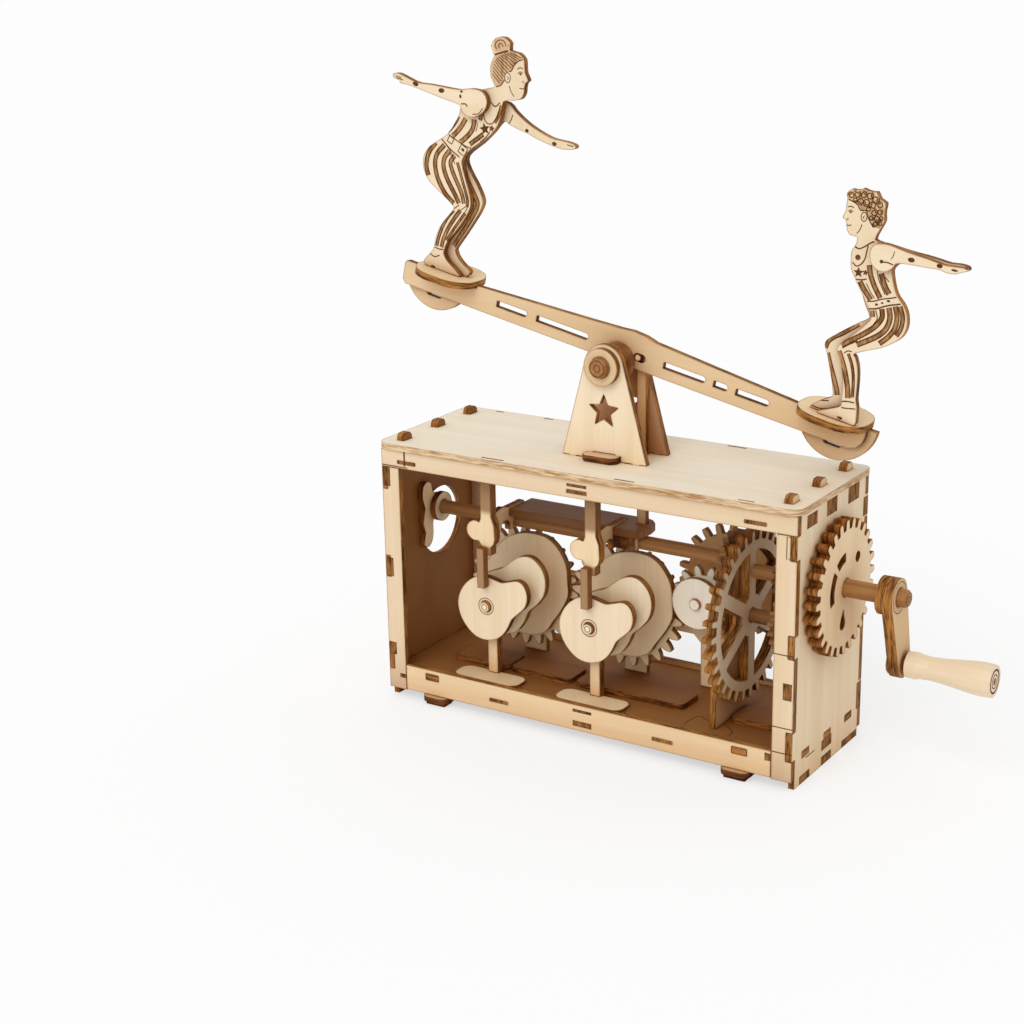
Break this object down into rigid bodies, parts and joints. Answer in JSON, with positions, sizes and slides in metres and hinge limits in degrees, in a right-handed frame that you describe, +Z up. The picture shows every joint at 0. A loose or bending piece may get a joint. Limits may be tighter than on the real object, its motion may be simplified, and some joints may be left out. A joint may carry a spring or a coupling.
{
  "type": "wooden automaton",
  "caption": "Hand-cranked wooden seesaw automaton: flat acrobats on a tilting beam above an open box of gears, cams and followers.",
  "frame": {"origin": "middle of the box's footprint, on the table it stands on", "axes": "+X along the box towards the crank, +Y to the back of the box, +Z up"},
  "size_m": [0.3152, 0.084, 0.3311],
  "materials": {
    "birch_ply": "raw laser-cut plywood",
    "scorched_wood": "browned rod and strip",
    "turned_wood": "smooth turned wood"
  },
  "bodies": {
    "box": {"base_plate": "birch_ply", "top_plate": "birch_ply", "left_wall": "birch_ply", "right_wall": "birch_ply", "front_left_post": "birch_ply", "front_right_post": "birch_ply", "rear_left_post": "birch_ply", "rear_right_post": "birch_ply", "front_top_rail": "birch_ply", "rear_top_rail": "birch_ply", "front_bottom_rail": "birch_ply", "rear_bottom_rail": "birch_ply", "left_floor_key": "birch_ply", "right_floor_key": "birch_ply", "stand_front": "birch_ply", "stand_rear": "birch_ply", "stand_key": "birch_ply", "left_bearing_plate": "birch_ply", "inner_bearing_post": "birch_ply", "crank_bearing": "birch_ply", "left_front_bearing": "birch_ply", "right_front_bearing": "birch_ply", "rear_bearing_bridge": "birch_ply"},
    "crank": {"crank_shaft": "scorched_wood", "crank_gear": "birch_ply", "crank_washer": "birch_ply", "crank_arm": "birch_ply", "grip_pin": "scorched_wood"},
    "grip": {"handle_grip": "turned_wood"},
    "main_shaft_set": {"main_shaft": "scorched_wood", "end_disc": "birch_ply"},
    "lay_shaft_set": {"lay_shaft": "scorched_wood", "big_gear": "birch_ply"},
    "transfer_set": {"transfer_axle": "scorched_wood", "right_angle_wheel": "birch_ply"},
    "left_cams": {"left_cam_axle": "scorched_wood", "left_front_cam": "birch_ply", "left_middle_cam": "birch_ply", "left_rear_cam": "birch_ply"},
    "right_cams": {"right_cam_axle": "scorched_wood", "right_front_cam": "birch_ply", "right_middle_cam": "birch_ply", "right_rear_cam": "birch_ply"},
    "lift": {"left_follower": "birch_ply", "right_follower": "birch_ply", "lift_bar": "scorched_wood", "drive_rod": "birch_ply"},
    "seesaw": {"seesaw_beam": "birch_ply", "pivot_axle": "scorched_wood", "pivot_washer": "birch_ply", "left_platform": "birch_ply", "right_platform": "birch_ply", "left_end_disc": "birch_ply", "right_end_disc": "birch_ply", "left_acrobat_front": "birch_ply", "left_acrobat_back": "birch_ply", "left_acrobat_arm": "birch_ply", "right_acrobat_front": "birch_ply", "right_acrobat_back": "birch_ply", "right_acrobat_arm": "birch_ply"}
  },
  "joints": [
    {"name": "crank_turn", "type": "hinge", "parent": "box", "child": "crank", "pos_m": [0.11, 0, 0.089], "axis": [1, 0, 0], "continuous": true},
    {"name": "grip_spin", "type": "hinge", "parent": "crank", "child": "grip", "pos_m": [0.169, 0.00945, 0.05374], "axis": [1, 0, 0], "continuous": true},
    {"name": "main_turn", "type": "hinge", "parent": "box", "child": "main_shaft_set", "pos_m": [-0.05, 0, 0.093], "axis": [1, 0, 0], "continuous": true},
    {"name": "lay_turn", "type": "hinge", "parent": "box", "child": "lay_shaft_set", "pos_m": [0.08, 0, 0.0666], "axis": [1, 0, 0], "continuous": true},
    {"name": "transfer_turn", "type": "hinge", "parent": "box", "child": "transfer_set", "pos_m": [0.04348, 0.02, 0.0666], "axis": [0, 1, 0], "continuous": true},
    {"name": "right_cam_turn", "type": "hinge", "parent": "box", "child": "right_cams", "pos_m": [0, 0, 0.055], "axis": [0, 1, 0], "continuous": true},
    {"name": "left_cam_turn", "type": "hinge", "parent": "box", "child": "left_cams", "pos_m": [-0.06, 0, 0.055], "axis": [0, 1, 0], "continuous": true},
    {"name": "seesaw_tilt", "type": "hinge", "parent": "box", "child": "seesaw", "pos_m": [0, 0.0018, 0.182], "axis": [0, -1, 0], "range_deg": [0, 24.6]},
    {"name": "lift_slide", "type": "slide", "parent": "box", "child": "lift", "axis": [0, 0, 1], "range_m": [0, 0.0047]}
  ],
  "couplings": [
    {"joint": "lay_turn", "follows": "crank_turn", "ratio": -0.75},
    {"joint": "main_turn", "follows": "crank_turn", "ratio": 0.70588},
    {"joint": "transfer_turn", "follows": "crank_turn", "ratio": 1.0909},
    {"joint": "right_cam_turn", "follows": "crank_turn", "ratio": -0.54545},
    {"joint": "left_cam_turn", "follows": "crank_turn", "ratio": 0.54545},
    {"joint": "lift_slide", "follows": "seesaw_tilt", "m_per_rad": 0.010924}
  ]
}
